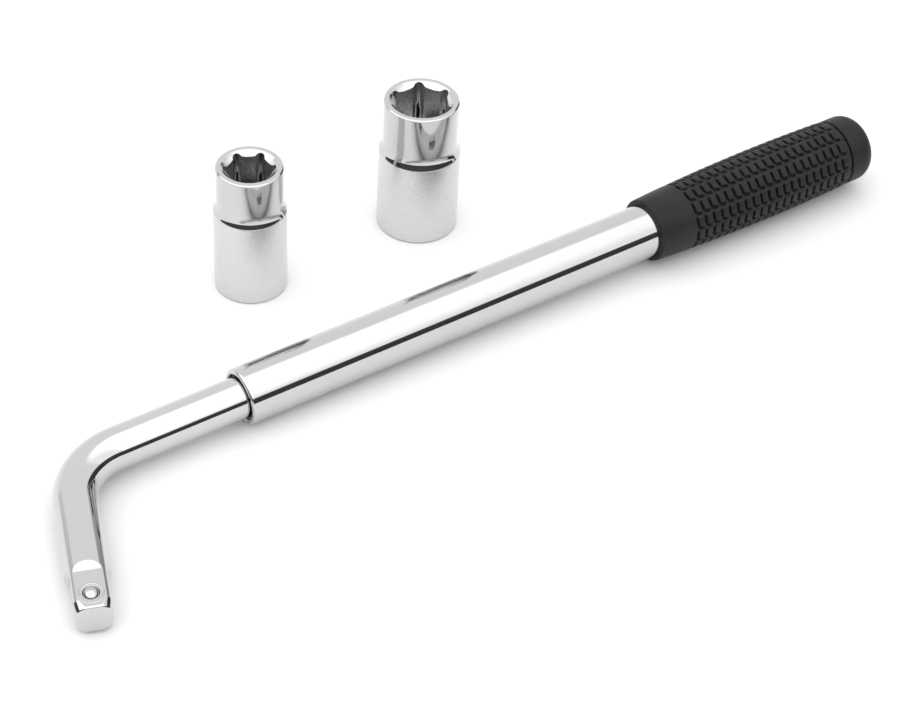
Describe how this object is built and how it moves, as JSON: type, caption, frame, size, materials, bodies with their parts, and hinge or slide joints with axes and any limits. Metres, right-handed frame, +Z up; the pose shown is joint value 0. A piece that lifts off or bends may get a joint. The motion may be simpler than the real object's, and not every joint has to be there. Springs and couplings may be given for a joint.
{
  "type": "lug wrench",
  "caption": "Telescopic L-shaped lug wrench with a square drive, a sliding tube handle with a rubber grip, and stepped double-ended wheel nut sockets.",
  "frame": {"origin": "Middle of the whole set's footprint, on the floor it lies on.", "axes": "+X along the handle's heading, from the bend to the grip; +Y away from the drive, to the side where the sockets stand; +Z up from the floor."},
  "size_m": [0.4008, 0.1538, 0.06],
  "materials": {
    "bar_chrome": "polished chrome plate",
    "tube_chrome": "polished chrome plate",
    "socket_chrome": "polished chrome plate on the narrow half, satin chrome on the wide half",
    "ball_steel": "polished steel ball",
    "bush_steel": "turned steel",
    "spring_steel": "spring wire",
    "collar_nylon": "natural nylon",
    "grip_rubber": "charcoal rubber with moulded tread pads"
  },
  "bodies": {
    "l_bar": {"l_bar": "bar_chrome", "drive_ball_spring": "spring_steel", "lock_ball_spring": "spring_steel"},
    "drive_ball": {"drive_ball": "ball_steel"},
    "lock_ball": {"lock_ball": "ball_steel"},
    "guide_collar": {"guide_collar": "collar_nylon"},
    "handle": {"outer_tube": "tube_chrome", "mouth_bush": "bush_steel", "tube_end_plug": "bush_steel", "grip_sleeve": "grip_rubber", "grip_end_cap": "grip_rubber"},
    "small_socket": {"small_socket": "socket_chrome"},
    "large_socket": {"large_socket": "socket_chrome"}
  },
  "joints": [
    {"name": "handle_swivel", "type": "hinge", "parent": "l_bar", "child": "guide_collar", "pos_m": [-0.10113, -0.00793, 0.01098], "axis": [0.9999, 0, 0.0165], "continuous": true},
    {"name": "handle_slide", "type": "slide", "parent": "guide_collar", "child": "handle", "axis": [0.9999, 0, 0.0165], "range_m": [0, 0.18]},
    {"name": "drive_ball_press", "type": "slide", "parent": "l_bar", "child": "drive_ball", "axis": [0.0165, 0.032, -0.9994], "range_m": [0, 0.0013], "stiffness_N_per_m": 2000, "springref_m": -0.003, "deforming": ["drive_ball_spring"]},
    {"name": "lock_ball_press", "type": "slide", "parent": "l_bar", "child": "lock_ball", "axis": [0.0165, 0.032, -0.9994], "range_m": [0, 0.0009], "stiffness_N_per_m": 2000, "springref_m": -0.003, "deforming": ["lock_ball_spring"]},
    {"name": "small_socket_lift", "type": "slide", "parent": "l_bar", "child": "small_socket", "axis": [0, 0, 1], "range_m": [0, 0.15]},
    {"name": "large_socket_lift", "type": "slide", "parent": "l_bar", "child": "large_socket", "axis": [0, 0, 1], "range_m": [0, 0.15]}
  ]
}
